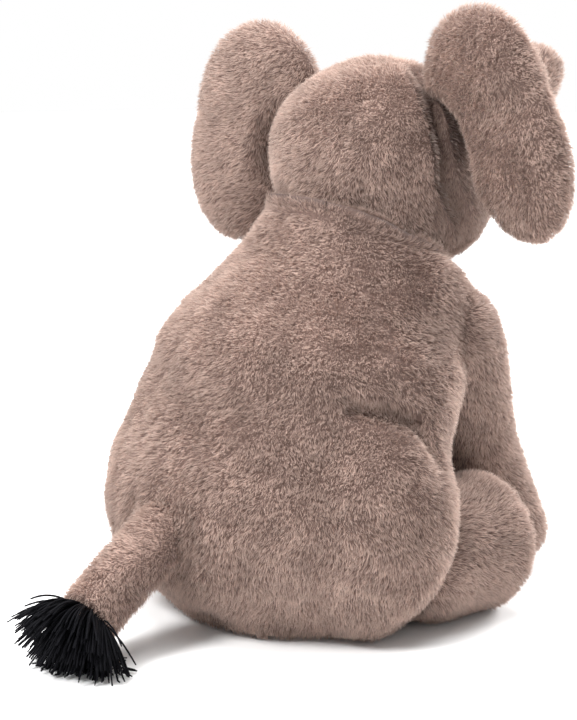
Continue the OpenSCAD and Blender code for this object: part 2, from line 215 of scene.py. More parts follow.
def crease_depth(p, creases):
    """How far creases pull the surface in: a bell curve across each path, fading out at its ends."""
    depth = np.zeros(len(p))
    for path, deep, wide in creases:
        gap, share = distance_to_path(p, path)
        fade = np.clip(np.minimum(share, 1 - share) * 6, 0, 1)
        depth = np.maximum(depth, deep * np.exp(-((gap / wide) ** 2)) * (0.25 + 0.75 * fade))
    return depth


# ---------------------------------------------------------------- surfaces

def leaving(p, d, middle, half):
    """Distance along each ray from p in direction d to the far side of an ellipsoid, 0 on a miss."""
    q, e = (p - middle) / half, d / half
    a, b, c = (e * e).sum(-1), (q * e).sum(-1), (q * q).sum(-1) - 1
    s = b * b - a * c
    return np.where(s > 0, np.maximum((-b + np.sqrt(np.maximum(s, 0))) / a, 0), 0)


def soft_max(values, k):
    """The largest of several arrays, with the folds between them rounded over about 1/k mm."""
    stack = np.stack(values)
    top = stack.max(0)
    return top + np.log(np.exp(k * (stack - top)).sum(0)) / k


def ray_grid(pole, rings, sides):
    """Directions over a sphere as rings from a pole to the far pole."""
    pole = unit(pole)
    east = unit(np.cross([1.0, 0, 0], pole))
    north = np.cross(pole, east)
    a = np.linspace(0, math.pi, rings)[:, None, None]
    b = np.linspace(0, 2 * math.pi, sides, endpoint=False)[None, :, None]
    return np.cos(a) * pole + np.sin(a) * (np.cos(b) * east + np.sin(b) * north)


# middles and half sizes of the ellipsoids that the torso and the upright head are made of
SEAT_MIDDLE = np.array([0, 8.0, 52.0])
SEAT_HALF = np.array([86.0, 80, 60])
CHEST_MIDDLE = np.array([0, -6.0, 93.0])
CHEST_HALF = np.array([80.0, 72, 66])
SHOULDER_MIDDLE = np.array([0, -34.0, 136.0])
SHOULDER_HALF = np.array([56.0, 54, 47])
NAPE_MIDDLE = np.array([0, -28.0, 150.0])
NAPE_HALF = np.array([37.0, 37, 47])
BASE_MIDDLE = np.array([0, 6.0, 26.0])
BASE_HALF = np.array([68.0, 60, 38])
THIGH_MIDDLE = np.array([55.0, 15.0, 54.0])
RIGHT_THIGH_HALF = np.array([44.0, 39, 52])
LEFT_THIGH_HALF = np.array([42.0, 36, 46])
LEFT_THIGH_SHIFT = np.array([3.0, 3, 4])  # the left thigh sits this much further in, forward and lower
SKULL_MIDDLE = np.array([0, -51.0, 195.0])
SKULL_HALF = np.array([47.5, 48, 48.5])
CROWN_OUT = np.array([10.0, 1, 9])
CROWN_HALF = np.array([37.0, 42, 37])
MUZZLE_MIDDLE = np.array([0, -76.0, 182.0])
MUZZLE_HALF = np.array([38.0, 33, 32])
CHEEKS_BACK = np.array([0, 12.0, -4])
CHEEKS_HALF = np.array([43.0, 36, 32])
TORSO_MIDDLE = np.array([0, -10.0, 76.0])
MIRROR = np.array([-1.0, 1, 1])

BELLY_HOLLOW = np.array([66.0, -60, 60])
BELLY_HOLLOW_DEPTH = 0.36  # share of the torso's reach
BELLY_HOLLOW_WIDE = 0.46  # radians
HEAD_BALL = 44.0  # radius of the ball that the head turns on
CUP_RADIUS = 44.5
CUP_BELOW = 8  # how far the middle of the torso's cup is below that of the ball
BALL_HOLLOW = 44.6
MUZZLE_HOLLOW = 39.0
FLOOR_CUT = 0.6  # the torso's underside stops this far above the floor
FAR = 1e6

COLLAR = 5.0  # how far the torso reaches past the ring of thread
COLLAR_LEAN = math.radians(36)
COLLAR_UP = np.array([0, -math.sin(COLLAR_LEAN), math.cos(COLLAR_LEAN)])
NOD_DOWN = math.radians(7)


def nodded(p):
    """Turns a point of the middle plane as the head's lowest nod does, about the neck's ball."""
    _, y, z = p - NECK_PIVOT
    return NECK_PIVOT + np.array([0, y * math.cos(NOD_DOWN) - z * math.sin(NOD_DOWN),
                                  y * math.sin(NOD_DOWN) + z * math.cos(NOD_DOWN)])


def bump_towards(d, target, wide):
    """A bell curve of the angle between each ray and the way to a point, on both sides of the body."""
    total = 0
    for m in (np.array([1.0, 1, 1]), MIRROR):
        way = unit(target * m - TORSO_MIDDLE)
        angle = np.arccos(np.clip(d @ way, -1, 1))
        total = total + np.exp(-((angle / wide) ** 2))
    return total


def torso_surface(d):
    """Torso, as its reach along each ray from its middle. It is the soft maximum of ellipsoids for the
    seat, chest, shoulders and nape, of the cup for the head's ball, and of the thighs and base, with a
    hollow in each side of the belly in front of the thigh. It is cut off by the floor, by the tilted
    plane above the neck's ring, and by the hollows that the head's ball and muzzle move in."""
    p = TORSO_MIDDLE
    body = soft_max([
        leaving(p, d, SEAT_MIDDLE, SEAT_HALF),
        leaving(p, d, CHEST_MIDDLE, CHEST_HALF),
        leaving(p, d, SHOULDER_MIDDLE, SHOULDER_HALF),
        leaving(p, d, NAPE_MIDDLE, NAPE_HALF),
    ], 0.11)
    cup = leaving(p, d, NECK_PIVOT - CUP_BELOW * NECK_UP, np.full(3, CUP_RADIUS))
    body = soft_max([body, cup], 0.3)
    body = body * (1 - BELLY_HOLLOW_DEPTH * np.minimum(bump_towards(d, BELLY_HOLLOW, BELLY_HOLLOW_WIDE), 1))
    thighs = [leaving(p, d, THIGH_MIDDLE * MIRROR, RIGHT_THIGH_HALF),
              leaving(p, d, THIGH_MIDDLE - LEFT_THIGH_SHIFT, LEFT_THIGH_HALF),
              leaving(p, d, BASE_MIDDLE, BASE_HALF)]
    body = soft_max([body, *thighs], 0.35)
    floor_reach = np.where(d[..., 2] < -1e-6, (p[2] - FLOOR_CUT) / np.maximum(-d[..., 2], 1e-6), FAR)
    rise = d @ COLLAR_UP
    collar = np.where(rise > 1e-3, ((NECK_RING - p) @ COLLAR_UP + COLLAR) / np.maximum(rise, 1e-3), FAR)
    reach = np.minimum(-soft_max([-body, -np.minimum(collar, 1e3)], 0.2), floor_reach)
    for middle, radius in ((NECK_PIVOT, BALL_HOLLOW), (rolled(MUZZLE_MIDDLE), MUZZLE_HOLLOW),
                           (nodded(MUZZLE_MIDDLE), MUZZLE_HOLLOW)):
        q = p - middle
        b, c = d @ q, q @ q - radius ** 2
        s = b * b - c
        hollow = np.where(s > 0, -b - np.sqrt(np.maximum(s, 0)), FAR)
        reach = np.minimum(reach, np.where(hollow > 0, hollow, FAR))
    return reach


def head_surface(d):
    """Head, upright, as its reach along each ray from the skull's middle: the soft maximum of a round
    skull, the crown's two shoulders, a muzzle and the cheeks, on the ball in the neck."""
    p = SKULL_MIDDLE
    face = soft_max([
        leaving(p, d, SKULL_MIDDLE, SKULL_HALF),
        leaving(p, d, SKULL_MIDDLE + CROWN_OUT, CROWN_HALF),
        leaving(p, d, SKULL_MIDDLE + CROWN_OUT * MIRROR, CROWN_HALF),
        leaving(p, d, MUZZLE_MIDDLE, MUZZLE_HALF),
        leaving(p, d, MUZZLE_MIDDLE + CHEEKS_BACK, CHEEKS_HALF),
    ], 0.3)
    ball = leaving(p, d, NECK_PIVOT, np.full(3, HEAD_BALL))
    return np.maximum(face, ball)


def star_rings(middle, pole, rings, sides, reach, creases=(), lumps=0.0, seed=0):
    """Rings of points at a distance from a middle, pulled in by creases, whose paths are first laid on
    the surface, and gently lumpy."""
    d = ray_grid(pole, rings, sides)
    r = reach(d)
    points = middle + r[..., None] * d
    flat = points.reshape(-1, 3)
    pull = np.zeros(len(flat))
    if creases:
        laid = []
        for path, deep, wide in creases:
            way = unit(np.asarray(path, float) - middle)
            laid.append((middle + reach(way)[:, None] * way, deep, wide))
        pull = crease_depth(flat, laid)
    pull = pull - lumps * (waves(flat, 46, seed) + 0.5 * waves(flat, 21, seed + 1))
    return middle + (r - pull.reshape(r.shape))[..., None] * d


def revolve(outline, sides, start, way):
    """Rings around an axis from start along way; outline is [radius, distance along] from end to end.
    Its first and last radius are 0."""
    way = unit(way)
    side = unit(np.cross(way, [0, 0, 1.0] if abs(way[2]) < 0.9 else [0, 1.0, 0]))
    other = np.cross(way, side)
    b = np.linspace(0, 2 * math.pi, sides, endpoint=False)
    around = np.cos(b)[:, None] * side + np.sin(b)[:, None] * other
    outline = np.asarray(outline, float)
    return start + outline[:, 1][:, None, None] * way + outline[:, 0][:, None, None] * around


def limb_profile(ball, neck, foot, length, edge, count=40):
    """Outline of a limb: a ball at the root, a waist, a swell to the foot, and a rounded flat end."""
    a = np.linspace(0, math.pi / 2, 12)
    root = np.stack([ball * np.sin(a), -ball * np.cos(a)], 1)
    t = np.linspace(0, 1, count)[1:]
    waist = ball + (neck - ball) * (1 - np.cos(math.pi * np.minimum(t / 0.6, 1))) / 2
    swell = (foot - neck) * (1 - np.cos(math.pi * np.maximum(t - 0.5, 0) / 0.5)) / 2
    shaft = np.stack([waist + swell, t * (length - edge)], 1)
    e = np.linspace(0, math.pi / 2, 9)[1:]
    rim = np.stack([foot - edge + edge * np.cos(e), length - edge + edge * np.sin(e)], 1)
    inner = np.linspace(foot - edge, 0, 8)[1:]
    end = np.stack([inner, length + 0 * inner], 1)
    return np.concatenate([root, shaft, rim, end])


# Ears: pillows in the plane of the hinge line and a direction out from it. The lobes are ellipses in
# that plane, as distances out from the hinge line and up it.
EAR_TOP = np.array([40.0, -52, 241])
EAR_FOOT = np.array([63.0, -52, 176])
EAR_UP = unit(EAR_TOP - EAR_FOOT)
EAR_HINGE = (EAR_TOP + EAR_FOOT) / 2
EAR_SWEEP = math.radians(6)
EAR_OUT = np.array([math.cos(EAR_SWEEP), math.sin(EAR_SWEEP), 0])
EAR_OUT = unit(EAR_OUT - (EAR_OUT @ EAR_UP) * EAR_UP)
EAR_BACK = np.cross(EAR_UP, EAR_OUT)
EAR_MIDDLE = np.array([27.0, -4, 0])
EAR_UPPER = np.array([24.0, 13, 0])
EAR_UPPER_HALF = np.array([35.0, 37, 1])
EAR_LOWER = np.array([31.0, -25, 0])
EAR_LOWER_HALF = np.array([29.0, 36, 1])
EAR_WAIST = np.array([26.0, -6, 0])
EAR_WAIST_TALL = 30
SEAM_IN = 7  # how far the seam with the head is inside the hinge line
SEAM_LEAN = 14  # how much further in the upper lobe leans
FRONT_FULL = 12.5
BACK_FULL = 16.0
ROOT_FULL = 0.36  # share of the fullness left at the root
ROOT_FORWARD = 15.0  # how far the root curls forward


def ear_reach(angle, between):
    """How far an ear's outline is from its middle: two lobes and the stretch between them, which is
    slack on one ear, cut off by the seam down the side of the head, which the top lobe leans over."""
    d = np.stack([np.cos(angle), np.sin(angle), 0 * angle], -1)
    lobes = [leaving(EAR_MIDDLE, d, EAR_UPPER, EAR_UPPER_HALF),
             leaving(EAR_MIDDLE, d, EAR_LOWER, EAR_LOWER_HALF),
             leaving(EAR_MIDDLE, d, EAR_WAIST, np.array([between, EAR_WAIST_TALL, 1]))]
    body = soft_max(lobes, 0.2)
    lean = np.clip((d[..., 1] - 0.35) / 0.4, 0, 1)
    drop = np.clip((-d[..., 1] - 0.35) / 0.4, 0, 1)
    inward = EAR_MIDDLE[0] + SEAM_IN + SEAM_LEAN * lean - drop
    seam = np.where(d[..., 0] < -1e-3, inward / np.maximum(-d[..., 0], 1e-3), FAR)
    return -soft_max([-body, -seam], 0.35)


def ear_rings(between, rings=34, sides=120):
    """A closed pillow: from the middle of the front out to the seam and back to the middle of the back.
    Its thickness falls to the seam as the root of one less the share of the way out to a power. It is
    fuller at the back, thins to the root as half a cosine wave, where it also curls forward, and has a
    bell-shaped fold across the waist."""
    angle = np.linspace(0, 2 * math.pi, sides, endpoint=False)
    reach = ear_reach(angle, between)
    share = np.sin(np.linspace(0, math.pi / 2, rings))
    flat = []
    for face, full in ((-1, FRONT_FULL), (1, BACK_FULL)):
        r = share[:, None] * reach[None]
        a = EAR_MIDDLE[0] + r * np.cos(angle)
        b = EAR_MIDDLE[1] + r * np.sin(angle)
        over = np.clip((b - 4) / 18, 0, 1)
        under = np.clip((-b - 14) / 14, 0, 1)
        near_root = np.clip((a + 1 + 17 * over + 11 * under) / 20, 0, 1)
        fullness = ROOT_FULL + (1 - ROOT_FULL) * (1 - np.cos(math.pi * near_root)) / 2
        fold = 1 - 0.22 * np.exp(-(((b + 4) / 9) ** 2)) * np.clip(a / 60, 0, 1)
        rise = full * fullness * fold * np.sqrt(np.maximum(1 - share[:, None] ** 2.6, 0))
        curl = 1 + np.cos(math.pi * np.clip((a + 7) / 27, 0, 1))
        forward = ROOT_FORWARD * (1 - over) * (1 - 0.8 * under) * curl / 2
        p = EAR_HINGE + a[..., None] * EAR_OUT + b[..., None] * EAR_UP
        p = p + (face * rise - forward)[..., None] * EAR_BACK
        flat.append(p)
    front, back = flat
    return np.concatenate([front, back[::-1][1:]])


# ---------------------------------------------------------------- pile

TILE = 1.5  # size of a tuft of pile
BLADE_WIDTH = 0.27
BLADE_SOFT = 0.88  # share of the skin's normal in a blade's
BLADE_SUNK = 0.4  # how far a blade starts under the skin
CLUMP = 0.45  # how much the tips gather
PATCH = 22.0  # size of the lighter and darker patches


def pile(name, points, triangles, per_mm2, length, lean, comb, seed, keep=None, shade=None):
    """Pile as blades of fibre: each is a kite of two triangles that starts just under the skin, leans
    the way the cloth was brushed, bends over at its middle, and gathers towards the tip of its tuft.
    points and triangles are the skin, comb gives a direction for each root, keep says which roots to
    keep, and shade gives painted shade: how much darker the pile is drawn there."""
    r = np.random.default_rng(seed)
    normals = vertex_normals(points, triangles)
    a, b, c = (points[triangles[:, i]] for i in range(3))
    area = np.linalg.norm(np.cross(b - a, c - a), axis=1) / 2
    count = int(area.sum() * per_mm2)
    edge = np.cumsum(area)
    pick = np.minimum(np.searchsorted(edge, r.random(count) * edge[-1]), len(area) - 1)
    u, v = r.random(count), r.random(count)
    over = u + v > 1
    u[over], v[over] = 1 - u[over], 1 - v[over]
    root = a[pick] + u[:, None] * (b - a)[pick] + v[:, None] * (c - a)[pick]
    na, nb, nc = (normals[triangles[pick, i]] for i in range(3))
    n = unit(na * (1 - u - v)[:, None] + nb * u[:, None] + nc * v[:, None])
    held = (root[:, 2] > 3.0) | (n[:, 2] > -0.55)
    if keep is not None:
        held &= keep(root, n)
    root, n = root[held], n[held]
    count = len(root)

    way = comb(root)
    way = way - (way * n).sum(1)[:, None] * n
    way = unit(way)
    across = np.cross(n, way)
    swirl = 0.4 * waves(root, 38, seed + 5) + 0.25 * waves(root, 9, seed + 6)
    swirl = swirl + r.normal(0, 0.35, count)
    way = np.cos(swirl)[:, None] * way + np.sin(swirl)[:, None] * across

    # tufts: warped cells of space, each with its own tone, lean and length
    warp = np.stack([waves(root, 6, seed + 7 + i) for i in range(3)], 1)
    cell = np.floor((root + 0.9 * warp) / TILE).astype(np.int64)
    key = (cell[:, 0] * 73856093) ^ (cell[:, 1] * 19349663) ^ (cell[:, 2] * 83492791)
    _, tuft = np.unique(key, return_inverse=True)
    tufts = tuft.max() + 1
    tuft_size = np.bincount(tuft)
    middle = np.stack([np.bincount(tuft, root[:, i]) / tuft_size for i in range(3)], 1)
    tuft_lean = r.normal(0, 0.11, tufts)[tuft]
    tuft_tone = r.normal(0, 1, tufts)[tuft]
    tuft_length = r.normal(0, 0.1, tufts)[tuft]

    tall = length * (1 + tuft_length + r.normal(0, 0.12, count)).clip(0.55, 1.4)
    tilt = lean + 0.12 * waves(root, 15, seed + 11) + tuft_lean + r.normal(0, 0.12, count)
    tilt = np.clip(tilt, 0.15, 1.35)
    up = np.cos(tilt)[:, None] * n + np.sin(tilt)[:, None] * way
    tilt2 = np.clip(tilt + 0.35, 0, 1.45)
    over = np.cos(tilt2)[:, None] * n + np.sin(tilt2)[:, None] * way
    start = root - BLADE_SUNK * n
    bend = root + 0.5 * tall[:, None] * up
    tip = bend + 0.5 * tall[:, None] * over
    gather = middle[tuft] + (tip - root)
    tip = tip + CLUMP * r.uniform(0.5, 1.3, count)[:, None] * (gather - tip)
    bend = bend + 0.3 * CLUMP * (middle[tuft] + (bend - root) - bend)
    for p, low in ((bend, 0.5), (tip, 0.3)):
        p[:, 2] = np.maximum(p[:, 2], low)

    flat = unit(np.cross(up, n) + 1e-4 * across + 0.25 * r.normal(size=(count, 3)))
    half = BLADE_WIDTH / 2 * r.uniform(0.75, 1.25, count)[:, None]
    left, right = bend + half * flat, bend - half * flat
    verts = np.stack([start, right, left, tip], 1).reshape(-1, 3)
    base = 4 * np.arange(count)[:, None]
    tris = np.concatenate([base + [0, 1, 2], base + [2, 1, 3]])
    # the drawn side is the one that faces away from the skin
    face = np.cross(right - start, left - start)
    wrong = (face * n).sum(1) < 0
    flip = np.concatenate([wrong, wrong])
    tris[flip] = tris[flip][:, ::-1]

    obj = make_mesh(name, verts, tris)
    # height along each blade, which the colour ramp turns into painted shade, darker towards the root
    set_float(obj, "pile_height", np.tile([0.0, 0.55, 0.55, 1.0], count))
    # tone: random for each tuft, blade and patch, less the painted shade that shade gives
    tone = 0.5 * tuft_tone + 0.5 * r.normal(0, 1, count) + 0.45 * waves(root, PATCH, seed + 13)
    tone = 0.55 + 0.2 * tone - (shade(root) if shade else 0)
    set_float(obj, "pile_tone_and_shade", np.repeat(np.clip(tone, 0, 1), 4))
    face = unit(np.cross(right - start, left - start)) * np.where(wrong, -1, 1)[:, None]
    lit = unit(BLADE_SOFT * n + (1 - BLADE_SOFT) * face + 0.12 * r.normal(size=(count, 3)))
    obj.data.normals_split_custom_set_from_vertices(np.repeat(lit, 4, 0).astype(np.float32))
    return obj


# ---------------------------------------------------------------- materials

def new_material(name):
    material = bpy.data.materials.new(name)
    material.use_nodes = True
    return material, material.node_tree.nodes, material.node_tree.links


def pile_colour_group():
    """Colour of a fibre: its own colour with painted shade, darker towards the root by its height above the
    cloth, times its tuft's tone, which also carries painted shade.
    """
    group = bpy.data.node_groups.new("pile_colour", "ShaderNodeTree")
    group.interface.new_socket("Colour", in_out="OUTPUT", socket_type="NodeSocketColor")
    nodes, links = group.nodes, group.links
    out = nodes.new("NodeGroupOutput")
    height = nodes.new("ShaderNodeAttribute")
    height.attribute_name = "pile_height"
    tone = nodes.new("ShaderNodeAttribute")
    tone.attribute_name = "pile_tone_and_shade"
    # painted shade along each fibre: dark at the root, light at the tip, where the fibres shade each other
    ramp = nodes.new("ShaderNodeValToRGB")
    ramp.color_ramp.elements[0].position = 0.0
    ramp.color_ramp.elements[0].color = (0.26, 0.165, 0.143, 1)
    ramp.color_ramp.elements[1].position = 1.0
    ramp.color_ramp.elements[1].color = (0.87, 0.70, 0.615, 1)
    middle = ramp.color_ramp.elements.new(0.55)
    middle.color = (0.62, 0.455, 0.388, 1)
    # the tone, random and with painted shade, darkens or lightens the colour
    dark = nodes.new("ShaderNodeValToRGB")
    dark.color_ramp.elements[0].color = (0.5, 0.475, 0.465, 1)
    dark.color_ramp.elements[1].color = (1.12, 1.12, 1.12, 1)
    mix = nodes.new("ShaderNodeMix")
    mix.data_type = "RGBA"
    mix.blend_type = "MULTIPLY"
    mix.inputs["Factor"].default_value = 1.0
    links.new(height.outputs["Fac"], ramp.inputs["Fac"])
    links.new(tone.outputs["Fac"], dark.inputs["Fac"])
    links.new(ramp.outputs["Color"], mix.inputs[6])
    links.new(dark.outputs["Color"], mix.inputs[7])
    links.new(mix.outputs[2], out.inputs["Colour"])
    return group


PILE_COLOUR = pile_colour_group()


def pile_material():
    """A fibre: half of the light that meets it comes through."""
    material, nodes, links = new_material("plush_pile")
    shader = nodes["Principled BSDF"]
    colour = nodes.new("ShaderNodeGroup")
    colour.node_tree = PILE_COLOUR
    links.new(colour.outputs["Colour"], shader.inputs["Base Color"])
    shader.inputs["Roughness"].default_value = 0.75
    shader.inputs["Specular IOR Level"].default_value = 0.12
    shader.inputs["Sheen Weight"].default_value = 0.35
    shader.inputs["Sheen Roughness"].default_value = 0.45
    shader.inputs["Sheen Tint"].default_value = (1.0, 0.86, 0.8, 1)
    through = nodes.new("ShaderNodeBsdfTranslucent")
    links.new(colour.outputs["Colour"], through.inputs["Color"])
    both = nodes.new("ShaderNodeMixShader")
    both.inputs["Fac"].default_value = 0.5
    links.new(shader.outputs["BSDF"], both.inputs[1])
    links.new(through.outputs["BSDF"], both.inputs[2])
    links.new(both.outputs["Shader"], nodes["Material Output"].inputs["Surface"])
    return material


GRAIN_DEPTH = 0.0006  # metres


def plain_material(name, colour, roughness, specular=0.3, sheen=0.0, bump=None, coat=0.0):
    """A plain finish; bump is (scale of the grain in metres, strength)."""
    material, nodes, links = new_material(name)
    shader = nodes["Principled BSDF"]
    shader.inputs["Base Color"].default_value = (*colour, 1)
    shader.inputs["Roughness"].default_value = roughness
    shader.inputs["Specular IOR Level"].default_value = specular
    shader.inputs["Sheen Weight"].default_value = sheen
    shader.inputs["Coat Weight"].default_value = coat
    if bump:
        place = nodes.new("ShaderNodeTexCoord")
        grain = nodes.new("ShaderNodeTexNoise")
        grain.inputs["Scale"].default_value = 1 / bump[0]
        grain.inputs["Detail"].default_value = 3
        lift = nodes.new("ShaderNodeBump")
        lift.inputs["Strength"].default_value = bump[1]
        lift.inputs["Distance"].default_value = GRAIN_DEPTH
        links.new(place.outputs["Object"], grain.inputs["Vector"])
        links.new(grain.outputs["Fac"], lift.inputs["Height"])
        links.new(lift.outputs["Normal"], shader.inputs["Normal"])
    return material


PILE = pile_material()
BACKING = plain_material("plush_backing", (0.17, 0.115, 0.098), roughness=0.95, specular=0.1, sheen=0.1,
                         bump=(0.0012, 0.5))
FELT = plain_material("sole_felt", (0.34, 0.245, 0.21), roughness=0.9, specular=0.1, sheen=0.25,
                      bump=(0.0007, 0.6))
THREAD = plain_material("sewing_thread", (0.25, 0.18, 0.155), roughness=0.8, specular=0.2, sheen=0.2)
BEAD = plain_material("eye_bead", (0.01, 0.008, 0.007), roughness=0.12, specular=0.5, coat=0.6)
YARN = plain_material("black_yarn", (0.0025, 0.0025, 0.004), roughness=0.7, specular=0.1,
                      bump=(0.0005, 0.8))


def dress(obj, material):
    obj.data.materials.append(material)
    return obj


# ---------------------------------------------------------------- combing directions

def combed_down(p):
    """Back and head: brushed down, and a little away from the middle line."""
    way = np.zeros_like(p)
    way[:, 2] = -1
    way[:, 0] = 0.15 * np.sign(p[:, 0]) * np.minimum(np.abs(p[:, 0]) / 30, 1)
    way[:, 1] = 0.25
    return way


NECK_PILE = 49.5  # the pile stands up nearer than this to the middle of the neck's ball


def combed_torso(p):
    """As combed_down, but at the neck the pile stands up against the head and fills the crease."""
    near = np.clip((NECK_PILE - np.linalg.norm(p - NECK_PIVOT, axis=1)) / 4, 0, 1)[:, None]
    return (1 - near) * combed_down(p) + 1.3 * near * NECK_UP


def combed_along(way):
    """Brushed one way all over."""
    return lambda p: np.broadcast_to(unit(way), p.shape).copy()


def combed_ear(sign):
    """Ears: brushed from the root outwards and down."""
    way = (0.55 * EAR_OUT - 0.8 * EAR_UP) * np.array([sign, 1, 1])
    return combed_along(way @ ROLL_TURN.T)


CLOTH_INSET = 2.6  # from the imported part's surface down to the cloth, which the pile fills
INSET_FADE = 8  # height over which the inset grows from nothing at the floor
FLOOR_GAP = 0.5
NECK_LIP = 45  # distance of the torso's lip from the middle of the neck's ball


def skin_and_pile(name, rings, body, replaces, comb, per_mm2, seed, length=3.6, lean=0.42, keep=None,
                  blend=None, shade=None):
    """One stuffed piece: its cloth, and its pile over it, both attached to the same body, or, with blend
    given, left unattached where they stand.
    """
    points, triangles = closed_grid(rings)
    triangles = outward(points, triangles)
    inset = CLOTH_INSET * np.clip((points[:, 2] - FLOOR_GAP) / INSET_FADE, 0, 1)
    if body == "torso":
        inset = inset * np.clip((np.linalg.norm(points - NECK_PIVOT, axis=1) - NECK_LIP) / 4, 0, 1)
    points = points - inset[:, None] * vertex_normals(points, triangles)
    skin = dress(make_mesh(name + "_skin", points, triangles), BACKING)
    fibres = dress(pile(name + "_pile", points, triangles, per_mm2, length, lean, comb, seed, keep, shade),
                   PILE)
    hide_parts(*replaces)
    for obj in (skin, fibres):
        if blend:
            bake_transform(obj)
        else:
            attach(obj, body)


DENSE = 3.8  # blades per square mm

# ---- torso ----

def both_sides(path, deep, wide):
    """The same crease on the left and the right."""
    path = np.array(path, float)
    return [(path, deep, wide), (path * MIRROR, deep, wide)]


# creases: a path, how deep the cloth goes in along it, and how wide the crease is
TORSO_CREASES = [
    # the closing seam up the back
    ([[0, 40, 158], [0, 62, 120], [0, 74, 90], [0, 88, 62], [0, 90, 44]], 1.0, 2.4),
    # where the back folds over the seat
    ([[62, 30, 109], [49, 48, 110], [24, 62, 109], [-13, 67, 103], [-24, 62, 109], [-49, 48, 110],
      [-66, 29, 109]], 2.2, 9.0),
    # around the root of the tail
    *both_sides([[12, 82, 66], [17, 80, 60], [19, 80, 50], [17, 79, 40], [12, 78, 34]], 3.0, 3.0),
    # around the top and the front of each thigh
    *both_sides([[62, 34, 110], [68, 28, 107], [75, 17, 104], [80, 7, 99], [85, 3, 88], [92, 4, 79]],
                7.0, 4.0),
]


def painted_crease_shade(creases, share=0.08):
    """Painted shade in a crease: the pile is drawn darker there, by the crease's depth."""
    return lambda p: share * crease_depth(p, [(path, deep, wide * 1.5) for path, deep, wide in creases])


def outside_cup(p, n):
    """No pile where the head's ball always covers the cloth."""
    in_cup = np.linalg.norm(p - NECK_PIVOT, axis=1) < BALL_HOLLOW + 0.3
    well_in = ((p - NECK_RING) @ NECK_UP) < -6
    return ~(in_cup & well_in)


def torso_shade(p):
    """Painted shade: darker in the creases, and where the torso goes in under the head."""
    # painted shade in a band round the lip under the head
    neck = np.exp(-(((np.linalg.norm(p - NECK_PIVOT, axis=1) - NECK_LIP) / 2.6) ** 2))
    return painted_crease_shade(TORSO_CREASES[1:])(p) + 0.35 * neck


torso_rings = star_rings(TORSO_MIDDLE, NECK_PIVOT - TORSO_MIDDLE, 150, 200, torso_surface,
                         TORSO_CREASES, 0.7, 3)
torso_rings[..., 2] = np.maximum(torso_rings[..., 2], FLOOR_GAP)
skin_and_pile("torso", torso_rings, "torso",
              ["torso_cover", "torso_filling", "seat_pellet_bag", "back_closing_stitch"],
              combed_torso, DENSE, 100, keep=outside_cup, shade=torso_shade)

# ---- head ----

HEAD_CREASES = [
    # back panel's side seams, from the crown to the neck
    *both_sides([[20, -54, 239], [28, -51, 234], [39, -46, 222], [46, -44, 207], [47, -46, 188],
                 [43, -55, 175], [34, -68, 161]], 5.0, 3.2),
    # small darts and puckers of the back panel
    ([[-20, -15, 220], [-21, -10, 206]], 1.6, 1.8),
    ([[-12, -7, 211], [-9, -4, 198]], 1.2, 1.6),
    ([[-29, -14, 189], [-27, -12, 177]], 1.6, 1.8),
    ([[-6, -19, 230], [-4, -15, 224]], 1.2, 1.8),
]


PUCKERS = 17  # folds of cloth round the neck
EYE_CLEAR = 8.0  # no pile nearer than this to the middle of an eye


def neck_rings_pinched(rings):
    """The neck's thread gathers the cloth: narrow puckers that run into it from the head's side."""
    flat = rings.reshape(-1, 3)
    rel = flat - NECK_RING
    along = rel @ NECK_UP
    out = rel - along[:, None] * NECK_UP
    turn = np.arctan2(out @ np.cross(NECK_UP, [1.0, 0, 0]), out[:, 0])
    pinch = np.exp(-(((along - 5) / 9) ** 2)) * (0.6 + 0.6 * np.sin(turn * PUCKERS + 2 * np.sin(turn * 3)))
    flat = flat - pinch[:, None] * unit(out)
    return flat.reshape(rings.shape)


head_rings = star_rings(SKULL_MIDDLE, NECK_UP, 110, 150, head_surface, HEAD_CREASES, 0.6, 9)
head_rings = rolled(neck_rings_pinched(head_rings).reshape(-1, 3)).reshape(head_rings.shape)


def off_neck_ball(p, n):
    """No pile low on the neck's ball, nor over the eyes."""
    deep = (upright(p) - NECK_RING) @ NECK_UP < -7
    eyes = np.ones(len(p), bool)
    for side in ("left", "right"):
        low, high = box_of("eye_" + side)
        eyes &= np.linalg.norm(p - (low + high) / 2, axis=1) > EYE_CLEAR
    return ~deep & eyes


def head_shade(p):
    """Painted shade: darker in the seams, and on the side strips in front of the back panel, a painted
    shadow of the ears.
    """
    q = upright(p)
    # the side strips, drawn darker as a painted shadow of the ears
    side = np.clip((np.abs(q[:, 0]) - 24 - 0.55 * (q[:, 1] + 46)) / 6, 0, 1) * (q[:, 1] < -42)
    return painted_crease_shade(HEAD_CREASES)(q) + 0.55 * side


skin_and_pile("head", head_rings, "head",
              ["head_cover", "head_filling", "eye_washer_left", "eye_washer_right"],
              combed_down, DENSE, 200, keep=off_neck_ball, shade=head_shade)

# ---- trunk ----


def trunk_profile(radius_root, radius_bend, length):
    """Outline of the trunk's root: a ball, a straight taper, and a round end."""
    a = np.linspace(0, math.pi / 2, 10)
    root = np.stack([radius_root * np.sin(a), -radius_root * np.cos(a)], 1)
    t = np.linspace(0, 1, 18)[1:]
    shaft = np.stack([radius_root + t * (radius_bend - radius_root), t * length], 1)
    e = np.linspace(0, math.pi / 2, 8)[1:]
    end = np.stack([radius_bend * np.cos(e), length + radius_bend * np.sin(e)], 1)
    return np.concatenate([root, shaft, end])


